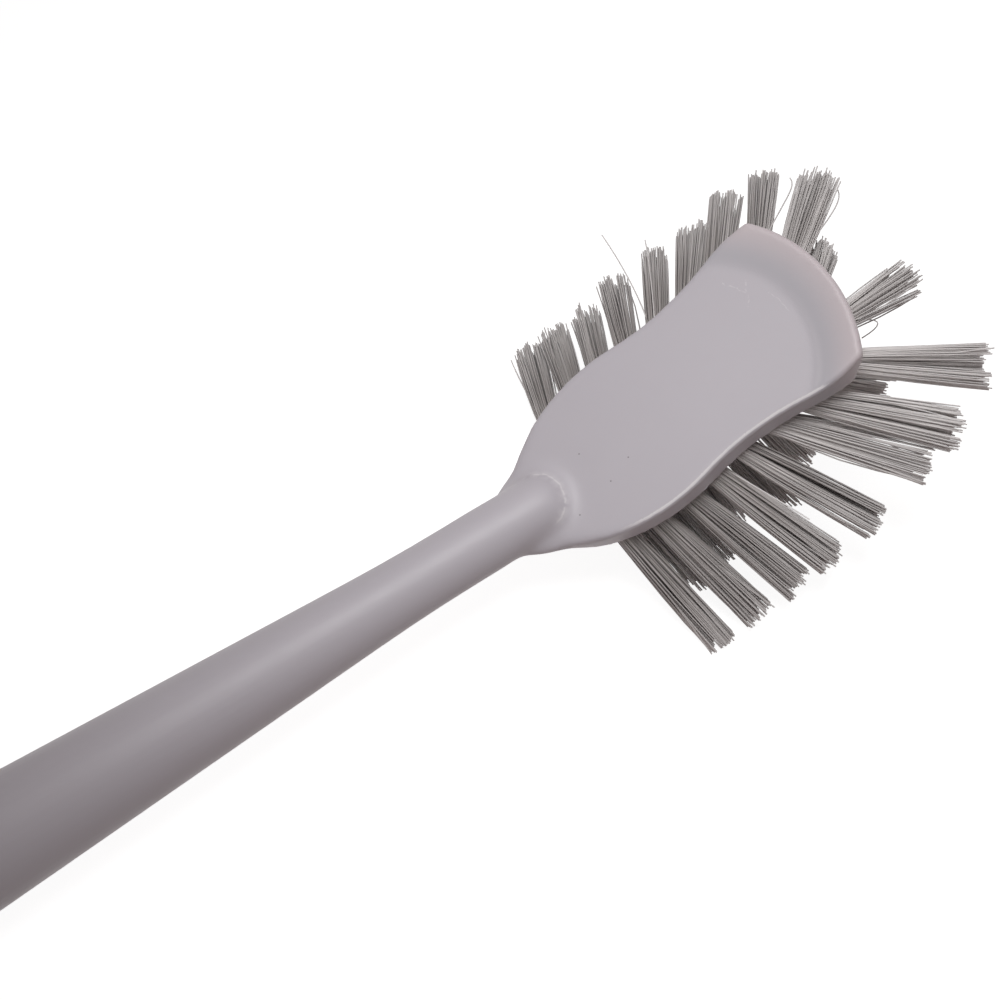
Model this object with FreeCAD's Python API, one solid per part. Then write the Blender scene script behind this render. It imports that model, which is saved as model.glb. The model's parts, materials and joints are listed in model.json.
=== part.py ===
"""Dish brush: one-piece handle and scraper head, set with anchored bristle tufts.

The brush is drawn with the back of its head level (z = 0), the neck at x = 0, the tip along +X and the
bristles hanging along -Z. At the end it is laid down the way it rests on a counter, on its rear tufts and
the butt of its handle, with the origin under the middle of its bounding box.
"""
import FreeCAD, Part
import math
import os

from FreeCAD import Placement, Rotation, Vector

# Head plan: a belly, a waist and a flare on each side, joined by tangent arcs, all in millimetres
NECK_HALF_WIDTH = 5.2
NECK_FILLET_RADIUS = 7.0
BELLY_X = 24.0
BELLY_HALF_WIDTH = 16.5
BELLY_RADIUS = 41.0
WAIST_FROM_BELLY = 15.5
WAIST_DEPTH = 1.3
FLARE_FROM_WAIST = 20.5
FLARE_STEP = 2.4
FLARE_RADIUS = 27.0
CORNER_RADIUS = 1.0
HEAD_THICKNESS = 6.2
RIM_RADIUS = 0.8

# Underside ramp where the head thins into the neck
RAMP_START_X = 5.0
RAMP_LENGTH = 11.5

# Scraper lip: it rises past a round crease in the back and ends in a thin edge round the tip
TIP_X = 70.1
TIP_RADIUS = 31.5
LIP_WIDTH = 8.2
LIP_SLOPE_DEG = 11.0
LIP_UNDERCUT = 2.5
LIP_EDGE_THICKNESS = 1.8
CREASE_RADIUS = 20.9
CREASE_BLEND_RADIUS = 3.0
RIM_WALL_SHARE = 0.9

# Handle: a turned bar that rises out of the neck and swells into the grip, as distances from the neck
HANDLE_RISE_DEG = 21.5
SHANK_RADIUS = 6.25
NOSE_CENTRE = -2.0
NOSE_BLEND_RADIUS = 1.5
SWELL_START = 27.0
SWELL_BLEND_RADIUS = 400.0
GRIP_START = 129.5
GRIP_RADIUS = 11.75
HANDLE_END = 164.0
HANG_HOLE_RADIUS = 3.5
HANG_HOLE_FROM_END = 16.0

# Tuft rows on the underside of the head, and a ring of tufts round the tip
FIRST_TUFT_X = 10.8
OUTER_PITCH = 6.6
OUTER_ROW_INSET = 3.6
INNER_LAG = 3.7
INNER_PITCH = 7.2
INNER_ROW_Y = 3.8
ROW_END_GAP = 9.5
FRONT_RING_INSET = 5.4
FRONT_RING_STEP_DEG = 14.2

# Lean of the tufts: sideways by row, forwards from the neck to the tip
OUTER_SPLAY_DEG = 51.0
INNER_SPLAY_DEG = 41.0
RAKE_AT_NECK_DEG = 0.0
RAKE_AT_TIP_DEG = 45.0
OUTER_FREE_LENGTH = 34.0
INNER_FREE_LENGTH = 30.0

# Forward and sideways lean of the ring's tufts, from the far corner of the lip to the near one
FAR_CORNER_LEAN_DEG = (40.0, 51.0)
FRONT_FAR_LEAN_DEG = (49.0, 50.0)
FRONT_CENTRE_LEAN_DEG = (30.0, 34.0)
FRONT_NEAR_LEAN_DEG = (43.0, 14.0)
NEAR_CORNER_LEAN_DEG = (44.0, -30.0)

# One tuft, its hole and its flat wire anchor
HOLE_RADIUS = 1.9
HOLE_DEPTH = 5.0
TUFT_CLEARANCE = 0.05
TUFT_TIP_RADIUS = 3.5
TUFT_FLUTES = 4
FLUTE_DEPTH_SHARE = 0.12
TUFT_CROWN = 1.6
ANCHOR_THICKNESS = 0.4
ANCHOR_HEIGHT = 1.6
ANCHOR_COVER = 0.8

# Working margins by which cutting tools stand proud of the stock
PROUD = 5.0
PROUD_DEG = 10.0

BASE_Z = -HEAD_THICKNESS
WAIST_X = BELLY_X + WAIST_FROM_BELLY
WAIST_HALF_WIDTH = BELLY_HALF_WIDTH - WAIST_DEPTH
FLARE_X = WAIST_X + FLARE_FROM_WAIST
FLARE_HALF_WIDTH = WAIST_HALF_WIDTH + FLARE_STEP
TIP_CENTRE_X = TIP_X - TIP_RADIUS
CREASE_CENTRE_X = TIP_X - LIP_WIDTH - CREASE_RADIUS
LIP_SLOPE = math.radians(LIP_SLOPE_DEG)
LIP_RISE = LIP_WIDTH * math.tan(LIP_SLOPE)
LIP_ROOT_RADIUS = TIP_RADIUS - LIP_UNDERCUT
OUTER_ROW_Y = WAIST_HALF_WIDTH - OUTER_ROW_INSET
FRONT_RING_RADIUS = TIP_RADIUS - FRONT_RING_INSET
CORNER_TUFT_X = TIP_CENTRE_X + FRONT_RING_RADIUS * math.cos(math.radians(2 * FRONT_RING_STEP_DEG))
ROW_END_X = CORNER_TUFT_X - ROW_END_GAP
OUTER_COUNT = 1 + int((ROW_END_X - FIRST_TUFT_X) / OUTER_PITCH)
INNER_COUNT = 1 + int((ROW_END_X - FIRST_TUFT_X - INNER_LAG) / INNER_PITCH)


def arc_edge(centre, radius, start, end):
    """Return the arc of a circle, in plan, from the angle start to the angle end."""
    points = []
    for angle in (start, (start + end) / 2, end):
        points.append(centre + Vector(math.cos(angle), math.sin(angle), 0) * radius)
    return Part.Arc(*points).toShape()


def heading(origin, target):
    """Return the angle in plan from one point towards another."""
    return math.atan2(target.y - origin.y, target.x - origin.x)


def blend_span(run, rise):
    """Return the sum of two radii whose arcs join level ends a run and a rise apart."""
    return (run ** 2 + rise ** 2) / (2 * rise)


def side_edges():
    """Return the tangent arcs along the far side of the head, and its tip corner."""
    rear_radius = blend_span(WAIST_FROM_BELLY, WAIST_DEPTH) - BELLY_RADIUS
    front_radius = blend_span(FLARE_FROM_WAIST, FLARE_STEP) - FLARE_RADIUS
    belly = Vector(BELLY_X, BELLY_HALF_WIDTH - BELLY_RADIUS, 0)
    rear_waist = Vector(WAIST_X, WAIST_HALF_WIDTH + rear_radius, 0)
    front_waist = Vector(WAIST_X, WAIST_HALF_WIDTH + front_radius, 0)
    flare = Vector(FLARE_X, FLARE_HALF_WIDTH - FLARE_RADIUS, 0)
    neck_y = NECK_HALF_WIDTH + NECK_FILLET_RADIUS
    neck_reach = math.sqrt((BELLY_RADIUS + NECK_FILLET_RADIUS) ** 2 - (neck_y - belly.y) ** 2)
    neck = Vector(BELLY_X - neck_reach, neck_y, 0)
    corner = tip_corner(flare)
    inwards = -math.pi / 2
    edges = [
        arc_edge(neck, NECK_FILLET_RADIUS, inwards, heading(neck, belly)),
        arc_edge(belly, BELLY_RADIUS, heading(belly, neck), heading(belly, rear_waist)),
        arc_edge(rear_waist, rear_radius, heading(rear_waist, belly), inwards),
        arc_edge(front_waist, front_radius, inwards, heading(front_waist, flare)),
        arc_edge(flare, FLARE_RADIUS, heading(flare, front_waist), heading(flare, corner)),
    ]
    return edges, corner, neck.x


def tip_corner(flare):
    """Return the point where the flared side meets the round tip."""
    tip = Vector(TIP_CENTRE_X, 0, 0)
    apart = flare.distanceToPoint(tip)
    along = (TIP_RADIUS ** 2 - FLARE_RADIUS ** 2 + apart ** 2) / (2 * apart)
    aside = math.sqrt(TIP_RADIUS ** 2 - along ** 2)
    towards = (flare - tip).normalize()
    across = Vector(-towards.y, towards.x, 0)
    return max(
        (tip + towards * along + across * aside * side for side in (1, -1)),
        key=lambda point: point.y,
    )


def head_plan():
    """Return the head's plan as a flat face, and its far corner at the tip."""
    far_edges, far_corner, neck_x = side_edges()
    near_edges = [edge.mirror(Vector(0, 0, 0), Vector(0, 1, 0)) for edge in far_edges]
    near_corner = Vector(far_corner.x, -far_corner.y, 0)
    apex = Vector(TIP_X, 0, 0)
    tip_arc = Part.Arc(far_corner, apex, near_corner).toShape()
    neck_line = Part.makeLine(
        Vector(neck_x, -NECK_HALF_WIDTH, 0), Vector(neck_x, NECK_HALF_WIDTH, 0)
    )
    outline = Part.Wire(Part.__sortEdges__([*far_edges, tip_arc, *near_edges, neck_line]))
    return Part.Face(outline), far_corner


def head_stock():
    """Return the head's plan drawn out from its underside to above the lip."""
    plan, corner = head_plan()
    plan.translate(Vector(0, 0, BASE_Z))
    stock = plan.extrude(Vector(0, 0, HEAD_THICKNESS + LIP_RISE + PROUD))
    corners = [edge for edge in stock.Edges if is_upright_at(edge, corner.x)]
    return stock.makeFillet(CORNER_RADIUS, corners)


def is_upright_at(edge, x):
    """Return True for a vertical edge that stands at the given x."""
    box = edge.BoundBox
    return box.ZLength > HEAD_THICKNESS and abs(box.XMin - x) < 1e-3 and box.XLength < 1e-3


def ring(profile, centre_x, start_deg, sweep_deg):
    """Turn a closed (radius, z) profile about a vertical axis on the middle line of the head."""
    face = Part.Face(Part.Wire(profile))
    face.rotate(Vector(0, 0, 0), Vector(0, 0, 1), start_deg)
    solid = face.revolve(Vector(0, 0, 0), Vector(0, 0, 1), sweep_deg)
    solid.translate(Vector(centre_x, 0, 0))
    return solid


def lip_top_cutter():
    """Return what is cut away above the back of the head and the rising lip."""
    run = CREASE_BLEND_RADIUS * math.tan(LIP_SLOPE / 2)
    half = LIP_SLOPE / 2
    outer_r = CREASE_RADIUS + LIP_WIDTH + PROUD
    outer_z = (outer_r - CREASE_RADIUS) * math.tan(LIP_SLOPE)
    top_z = outer_z + PROUD
    blend_start = Vector(CREASE_RADIUS - run, 0, 0)
    blend_middle = Vector(
        CREASE_RADIUS - run + CREASE_BLEND_RADIUS * math.sin(half),
        0,
        CREASE_BLEND_RADIUS * (1 - math.cos(half)),
    )
    blend_end = Vector(
        CREASE_RADIUS + run * math.cos(LIP_SLOPE), 0, run * math.sin(LIP_SLOPE)
    )
    outer_low = Vector(outer_r, 0, outer_z)
    outer_high = Vector(outer_r, 0, top_z)
    axis_high = Vector(0, 0, top_z)
    axis_low = Vector(0, 0, 0)
    dish = ring(
        [
            Part.makeLine(axis_low, blend_start),
            Part.Arc(blend_start, blend_middle, blend_end).toShape(),
            Part.makeLine(blend_end, outer_low),
            Part.makeLine(outer_low, outer_high),
            Part.makeLine(outer_high, axis_high),
            Part.makeLine(axis_high, axis_low),
        ],
        CREASE_CENTRE_X,
        180,
        360,
    )
    back_width = 2 * (BELLY_HALF_WIDTH + FLARE_HALF_WIDTH)
    back = Part.makeBox(
        2 * CREASE_CENTRE_X, back_width, top_z, Vector(-CREASE_CENTRE_X, -back_width / 2, 0)
    )
    return dish.fuse(back)


def lip_underside_cutter():
    """Return what is cut away below the lip so that it ends in a thin edge."""
    edge_z = LIP_RISE - LIP_EDGE_THICKNESS
    outer_r = TIP_RADIUS + PROUD
    slope = (edge_z - BASE_Z) / LIP_UNDERCUT
    corners = [
        Vector(LIP_ROOT_RADIUS, 0, BASE_Z),
        Vector(outer_r, 0, BASE_Z + slope * (outer_r - LIP_ROOT_RADIUS)),
        Vector(outer_r, 0, BASE_Z - PROUD),
        Vector(LIP_ROOT_RADIUS, 0, BASE_Z - PROUD),
    ]
    half_sweep = math.degrees(math.asin(FLARE_HALF_WIDTH / TIP_RADIUS)) + PROUD_DEG
    profile = Part.makePolygon(corners + corners[:1]).Edges
    return ring(profile, TIP_CENTRE_X, -half_sweep, 2 * half_sweep)


def neck_ramp_cutter():
    """Return the wedge that thins the underside of the head and ends it under the neck."""
    width = 2 * (BELLY_HALF_WIDTH + PROUD)
    end_x = RAMP_START_X - 2 * RAMP_LENGTH
    corners = [
        Vector(RAMP_START_X, -width / 2, BASE_Z),
        Vector(end_x, -width / 2, BASE_Z + 2 * HEAD_THICKNESS),
        Vector(end_x, -width / 2, BASE_Z - PROUD),
        Vector(RAMP_START_X, -width / 2, BASE_Z - PROUD),
    ]
    face = Part.Face(Part.makePolygon(corners + corners[:1]))
    return face.extrude(Vector(0, width, 0))


def back_height(x, y):
    """Return the height of the sharp-creased back of the head at a point in plan."""
    past_crease = math.hypot(x - CREASE_CENTRE_X, y) - CREASE_RADIUS
    return max(0.0, past_crease * math.tan(LIP_SLOPE)) if x > CREASE_CENTRE_X else 0.0


def top_rim_edges(head):
    """Return the upper edges along the two sides and round the lip."""
    rim = []
    for edge in head.Edges:
        middle = edge.valueAt((edge.FirstParameter + edge.LastParameter) / 2)
        beside = abs(middle.y) > NECK_HALF_WIDTH
        round_tip = middle.x > TIP_X - RIM_RADIUS
        on_back = abs(middle.z - back_height(middle.x, middle.y)) < RIM_RADIUS / 2
        if on_back and (beside or round_tip):
            rim.append(edge)
    return rim


def rim_radius():
    """Return the radius of the rim's rounding, as far as the thin edge of the lip has room for it."""
    room = RIM_WALL_SHARE * LIP_EDGE_THICKNESS * math.tan((math.pi / 2 - LIP_SLOPE) / 2)
    return min(RIM_RADIUS, room)


def head_body():
    """Return the paddle head with its lip, before the handle joins it."""
    head = head_stock().cut(lip_top_cutter())
    head = head.cut(lip_underside_cutter()).removeSplitter()
    head = head.makeFillet(rim_radius(), top_rim_edges(head))
    return head.cut(neck_ramp_cutter())


def handle_axis(distance):
    """Return the point on the handle's axis at a distance from the neck."""
    rise = math.radians(HANDLE_RISE_DEG)
    return Vector(-distance * math.cos(rise), 0, distance * math.sin(rise))


def handle_up():
    """Return the direction square to the handle's axis, out of its upper side."""
    rise = math.radians(HANDLE_RISE_DEG)
    return Vector(math.sin(rise), 0, math.cos(rise))


def handle_bar():
    """Return the turned handle, from its round nose on the head to its round butt."""
    nose = Vector(NOSE_CENTRE, 0, 0)
    swell_start = Vector(SWELL_START, SHANK_RADIUS, 0)
    grip_start = Vector(GRIP_START, GRIP_RADIUS, 0)
    slope = heading(swell_start, grip_start)
    run = SWELL_BLEND_RADIUS * math.tan(slope / 2)
    blend_start = swell_start - Vector(run, 0, 0)
    blend_end = swell_start + Vector(math.cos(slope), math.sin(slope), 0) * run
    hollow = blend_start + Vector(0, SWELL_BLEND_RADIUS, 0)
    butt = Vector(HANDLE_END - GRIP_RADIUS, 0, 0)
    level = math.pi / 2
    profile = [
        arc_edge(nose, SHANK_RADIUS, math.pi, level),
        Part.makeLine(nose + Vector(0, SHANK_RADIUS, 0), blend_start),
        arc_edge(hollow, SWELL_BLEND_RADIUS, -level, slope - level),
        Part.makeLine(blend_end, grip_start),
        Part.makeLine(grip_start, butt + Vector(0, GRIP_RADIUS, 0)),
        arc_edge(butt, GRIP_RADIUS, level, 0),
        Part.makeLine(butt + Vector(GRIP_RADIUS, 0, 0), nose - Vector(SHANK_RADIUS, 0, 0)),
    ]
    bar = Part.Face(Part.Wire(profile)).revolve(Vector(0, 0, 0), Vector(1, 0, 0), 360)
    turn = Rotation(Vector(0, 0, 1), 180)
    lift = Rotation(Vector(0, 1, 0), HANDLE_RISE_DEG)
    bar.Placement = Placement(handle_axis(0), lift.multiply(turn))
    return bar


def hang_hole():
    """Return the round bar that cuts the hanging hole through the butt of the handle."""
    up = handle_up()
    centre = handle_axis(HANDLE_END - HANG_HOLE_FROM_END)
    reach = GRIP_RADIUS + PROUD
    return Part.makeCylinder(HANG_HOLE_RADIUS, 2 * reach, centre - up * reach, up)


def rake_deg(x):
    """Return the forward lean of a tuft of the side rows rooted at x."""
    share = (x - FIRST_TUFT_X) / (OUTER_PITCH * (OUTER_COUNT - 1))
    return RAKE_AT_NECK_DEG + (RAKE_AT_TIP_DEG - RAKE_AT_NECK_DEG) * share


def lean(forward_deg, sideways_deg):
    """Return the unit direction of a tuft from its hole to its tip."""
    forward = math.tan(math.radians(forward_deg))
    sideways = math.tan(math.radians(sideways_deg))
    return Vector(forward, sideways, -1).normalize()


def side_rows(side_name, side):
    """Return (name, root, direction, free length) for the tufts of one side of the head."""
    rows = []
    for index in range(OUTER_COUNT):
        x = FIRST_TUFT_X + OUTER_PITCH * index
        root = Vector(x, side * OUTER_ROW_Y, BASE_Z)
        way = lean(rake_deg(x), side * OUTER_SPLAY_DEG)
        rows.append((f"tuft_outer_{side_name}_{index + 1}", root, way, OUTER_FREE_LENGTH))
    for index in range(INNER_COUNT):
        x = FIRST_TUFT_X + INNER_LAG + INNER_PITCH * index
        root = Vector(x, side * INNER_ROW_Y, BASE_Z)
        way = lean(rake_deg(x), side * INNER_SPLAY_DEG)
        rows.append((f"tuft_inner_{side_name}_{index + 1}", root, way, INNER_FREE_LENGTH))
    return rows


def front_ring():
    """Return (name, root, direction, free length) for the tufts round the tip."""
    leans_of = {
        f"tuft_outer_far_{OUTER_COUNT + 1}": FAR_CORNER_LEAN_DEG,
        "tuft_front_far": FRONT_FAR_LEAN_DEG,
        "tuft_front_centre": FRONT_CENTRE_LEAN_DEG,
        "tuft_front_near": FRONT_NEAR_LEAN_DEG,
        f"tuft_outer_near_{OUTER_COUNT + 1}": NEAR_CORNER_LEAN_DEG,
    }
    tufts = []
    middle = (len(leans_of) - 1) / 2
    for index, (name, leans) in enumerate(leans_of.items()):
        angle = math.radians((middle - index) * FRONT_RING_STEP_DEG)
        reach = Vector(math.cos(angle), math.sin(angle), 0) * FRONT_RING_RADIUS
        root = Vector(TIP_CENTRE_X, 0, BASE_Z) + reach
        tufts.append((name, root, lean(*leans), OUTER_FREE_LENGTH))
    return tufts


def fluted_ring(radius, centre, turn):
    """Return the corners of the fluted outline of a bundle of filaments."""
    corners = []
    for index in range(2 * TUFT_FLUTES):
        reach = radius * (1 - FLUTE_DEPTH_SHARE * (index % 2))
        angle = math.pi * index / TUFT_FLUTES
        flat = Vector(reach * math.cos(angle), reach * math.sin(angle), 0)
        corners.append(centre + turn.multVec(flat))
    return corners


def facet(*corners):
    """Return the flat face with the given corners."""
    return Part.Face(Part.makePolygon([*corners, corners[0]]))


def ring_skin(ring_a, ring_b):
    """Return the flat facets between two rings of as many corners."""
    facets = []
    for index, start in enumerate(ring_a):
        after = (index + 1) % len(ring_a)
        facets.append(facet(start, ring_a[after], ring_b[index]))
        facets.append(facet(ring_a[after], ring_b[after], ring_b[index]))
    return facets


def dome_skin(ring_corners, crown):
    """Return the flat facets from a ring up to the crown over its middle."""
    follow = ring_corners[1:] + ring_corners[:1]
    return [facet(start, after, crown) for start, after in zip(ring_corners, follow)]


def tuft(root, direction, length):
    """Return one tuft: a plug in its hole, then a flaring bundle with a crowned tip."""
    upright = Rotation()
    leaning = Rotation(Vector(0, 0, -1), direction)
    plug_radius = HOLE_RADIUS - TUFT_CLEARANCE
    fold = fluted_ring(plug_radius, root + Vector(0, 0, HOLE_DEPTH), upright)
    mouth = fluted_ring(plug_radius, root, upright)
    tip = fluted_ring(TUFT_TIP_RADIUS, root + direction * (length - TUFT_CROWN), leaning)
    crown = root + direction * length
    skin = [facet(*fold), *ring_skin(fold, mouth), *ring_skin(mouth, tip), *dome_skin(tip, crown)]
    return Part.Solid(Part.makeShell(skin)).cut(anchor(root)).removeSplitter()


def anchor(root):
    """Return the flat wire anchor that lies across the fold of a tuft, from wall to wall of its hole."""
    width = 2 * math.sqrt(HOLE_RADIUS ** 2 - (ANCHOR_THICKNESS / 2) ** 2)
    low_z = root.z + HOLE_DEPTH - ANCHOR_COVER - ANCHOR_HEIGHT
    corner = Vector(root.x - ANCHOR_THICKNESS / 2, root.y - width / 2, low_z)
    return Part.makeBox(ANCHOR_THICKNESS, width, ANCHOR_HEIGHT, corner)


def tuft_hole(root):
    """Return the blind hole that a tuft is set in."""
    return Part.makeCylinder(HOLE_RADIUS, HOLE_DEPTH + PROUD, root - Vector(0, 0, PROUD))


def nose_blend():
    """Return the hollow blend round the nose of the handle, where it sinks into the flat back."""
    reach = 2 * BELLY_HALF_WIDTH + HANDLE_END
    slab = Part.makeBox(2 * reach, 2 * reach, HEAD_THICKNESS, Vector(-reach, -reach, BASE_Z))
    joined = slab.fuse(handle_bar())
    edges = []
    for edge in joined.Edges:
        box = edge.BoundBox
        on_back = max(abs(box.ZMin), abs(box.ZMax)) < 1e-3
        if on_back and box.XMax < BELLY_X and box.XMin > -HANDLE_END:
            edges.append(edge)
    blended = joined.makeFillet(NOSE_BLEND_RADIUS, edges)
    flat_back = head_plan()[0].makeOffset2D(-rim_radius())
    return blended.common(flat_back.extrude(Vector(0, 0, SHANK_RADIUS)))


def moulding(layout):
    """Return the one-piece handle and head with its tuft holes and anchor slots."""
    body = head_body().fuse([handle_bar(), nose_blend()]).removeSplitter()
    holes = [tuft_hole(root) for _, root, _, _ in layout]
    return body.cut(Part.makeCompound([hang_hole(), *holes]))


def rest_placement(tufts, pieces):
    """Return how the brush is laid down on its rear tufts and the butt of its handle.

    The table is the line that touches the round butt from below and just clears every tuft.
    """
    butt = handle_axis(HANDLE_END - GRIP_RADIUS)
    corners = [vertex.Point for tuft_solid in tufts for vertex in tuft_solid.Vertexes]
    slopes = []
    for corner in corners:
        apart = math.hypot(corner.x - butt.x, corner.z - butt.z)
        bearing = math.atan2(corner.z - butt.z, corner.x - butt.x)
        slopes.append(bearing + math.asin(GRIP_RADIUS / apart))
    turn = Rotation(Vector(0, 1, 0), math.degrees(min(slopes)))
    low_z = min(turn.multVec(corner).z for corner in corners)
    laid = Part.makeCompound(pieces)
    laid.Placement = Placement(Vector(0, 0, 0), turn)
    box = laid.optimalBoundingBox(False, False)
    return Placement(Vector(-box.Center.x, -box.Center.y, -low_z), turn)


def main():
    """Build every piece, lay the brush down and write one STEP file for each node."""
    layout = [*side_rows("far", 1), *side_rows("near", -1), *front_ring()]
    tufts = {name: tuft(root, way, length) for name, root, way, length in layout}
    pieces = {
        "handle_head": moulding(layout),
        **tufts,
        "tuft_anchors": Part.makeCompound([anchor(root) for _, root, _, _ in layout]),
    }
    placement = rest_placement(tufts.values(), list(pieces.values()))
    os.makedirs("parts", exist_ok=True)
    for name, shape in pieces.items():
        shape.Placement = placement.multiply(shape.Placement)
        shape.exportStep(f"parts/{name}.step")
    print("laid down at", placement)


main()
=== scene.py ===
"""Looks of the dish brush: its moulded handle and head, its bristle tufts, the light and the camera.

Everything is in metres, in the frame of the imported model. The brush lies at rest on the floor with the tip of
its head towards +X. The head has a frame of its own, HeadFrame, in which its back is level. PhotoView is the
camera of the photograph, so that a tuft seen there can lean as it does on the real brush.
"""

import json
import logging
import math
from dataclasses import dataclass, field
from enum import Enum

import bpy
import numpy as np
from bpy.types import ID, Material, Mesh, Node, NodeOutputs, NodeSocket as Socket, NodeTree, Object as Piece
from mathutils import Euler, Matrix, Vector

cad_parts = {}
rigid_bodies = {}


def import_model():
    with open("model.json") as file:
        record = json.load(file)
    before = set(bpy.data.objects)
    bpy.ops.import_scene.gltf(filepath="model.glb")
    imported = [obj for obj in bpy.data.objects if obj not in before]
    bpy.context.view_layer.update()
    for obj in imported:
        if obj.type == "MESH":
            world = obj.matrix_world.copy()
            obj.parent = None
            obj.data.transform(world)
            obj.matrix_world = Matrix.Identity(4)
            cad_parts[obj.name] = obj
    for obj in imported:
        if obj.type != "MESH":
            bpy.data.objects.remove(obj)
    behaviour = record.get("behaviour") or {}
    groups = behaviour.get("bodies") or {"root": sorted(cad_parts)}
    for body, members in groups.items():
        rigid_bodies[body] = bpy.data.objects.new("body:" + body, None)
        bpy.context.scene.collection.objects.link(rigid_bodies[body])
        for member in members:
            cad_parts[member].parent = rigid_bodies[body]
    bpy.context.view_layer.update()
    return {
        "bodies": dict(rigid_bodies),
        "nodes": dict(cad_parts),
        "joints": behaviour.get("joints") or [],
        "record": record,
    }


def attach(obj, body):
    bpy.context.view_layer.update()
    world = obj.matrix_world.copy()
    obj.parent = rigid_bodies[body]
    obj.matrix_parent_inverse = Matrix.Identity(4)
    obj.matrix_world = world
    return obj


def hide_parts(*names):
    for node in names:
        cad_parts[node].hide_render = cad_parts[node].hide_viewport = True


LOG = logging.getLogger("dish_brush")
BODY = "root"
STRAND_TINT = "strand_tint"
STRAND_ALONG = "strand_along"

Colour = tuple[float, float, float]
Point = tuple[float, float, float]
Pixel = tuple[float, float]
Spot = tuple[float, float]
# A Fade says where a smooth step is 0 and where it is 1.
Fade = tuple[float, float]


class Slot(Enum):
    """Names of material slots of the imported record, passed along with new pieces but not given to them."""

    MOULDING = "moulding"
    BRISTLE = "bristle"


class Row(Enum):
    """Rows of tufts, told apart by the start of their node names."""

    OUTER_NEAR = "tuft_outer_near"
    OUTER_FAR = "tuft_outer_far"
    INNER = "tuft_inner"
    FRONT = "tuft_front"


@dataclass(frozen=True)
class HeadFrame:
    """How the head lies at rest: its back is the local XY plane and the neck is its origin."""

    neck: Point = (0.0360821, 0.0, 0.0218798)
    pitch_deg: float = 25.3149
    crease_axis_x: float = 0.0410
    crease_radius: float = 0.0209
    lip_width: float = 0.0082

    def matrix(self) -> Matrix:
        """Return the transform from the head's own frame to the model's frame."""
        turn = Matrix.Rotation(-math.radians(self.pitch_deg), 4, "Y")
        return Matrix.Translation(Vector(self.neck)) @ turn

    def up(self) -> Vector:
        """Return the direction out of the back of the head."""
        return self.matrix().to_3x3() @ Vector((0.0, 0.0, 1.0))


@dataclass(frozen=True)
class PhotoView:
    """The camera of the photograph, placed in the head's own frame."""

    head: HeadFrame
    place: Point = (0.04951, -0.09594, 0.24437)
    turn_deg: Point = (11.32, 22.681, -34.968)
    lens_mm: float = 50.4
    sensor_mm: float = 36.0
    frame_px: float = 1000.0

    def matrix(self) -> Matrix:
        """Return the camera's transform in the model's frame."""
        turn = Euler([math.radians(angle) for angle in self.turn_deg]).to_matrix().to_4x4()
        return self.head.matrix() @ Matrix.Translation(Vector(self.place)) @ turn

    def sight(self, pixel: Pixel) -> Vector:
        """Return the direction from the camera through a pixel of the photograph."""
        half = self.frame_px / 2
        flat = Vector((pixel[0] - half, half - pixel[1], -self.frame_px * self.lens_mm / self.sensor_mm))
        return (self.matrix().to_3x3() @ flat).normalized()

    def point_behind(self, pixel: Pixel, start: Vector, reach: float, way: Vector) -> Vector:
        """Find the point behind a pixel that lies at a given reach from a start.

        Args:
            pixel: the pixel of the photograph.
            start: the point that the reach is measured from.
            reach: the distance from the start.
            way: the direction that the point should lie in, which picks one of two such points.

        Returns:
            The point, or the nearest at that reach where the line of sight passes further away.
        """
        eye = self.matrix().translation
        sight = self.sight(pixel)
        foot = eye + sight * sight.dot(start - eye)
        miss = (foot - start).length
        if miss >= reach:
            return start + (foot - start) * (reach / miss)
        half_chord = math.sqrt(reach**2 - miss**2)
        ends = (foot + sight * side * half_chord for side in (-1, 1))
        return max(ends, key=lambda end: (end - start).dot(way))


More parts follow.
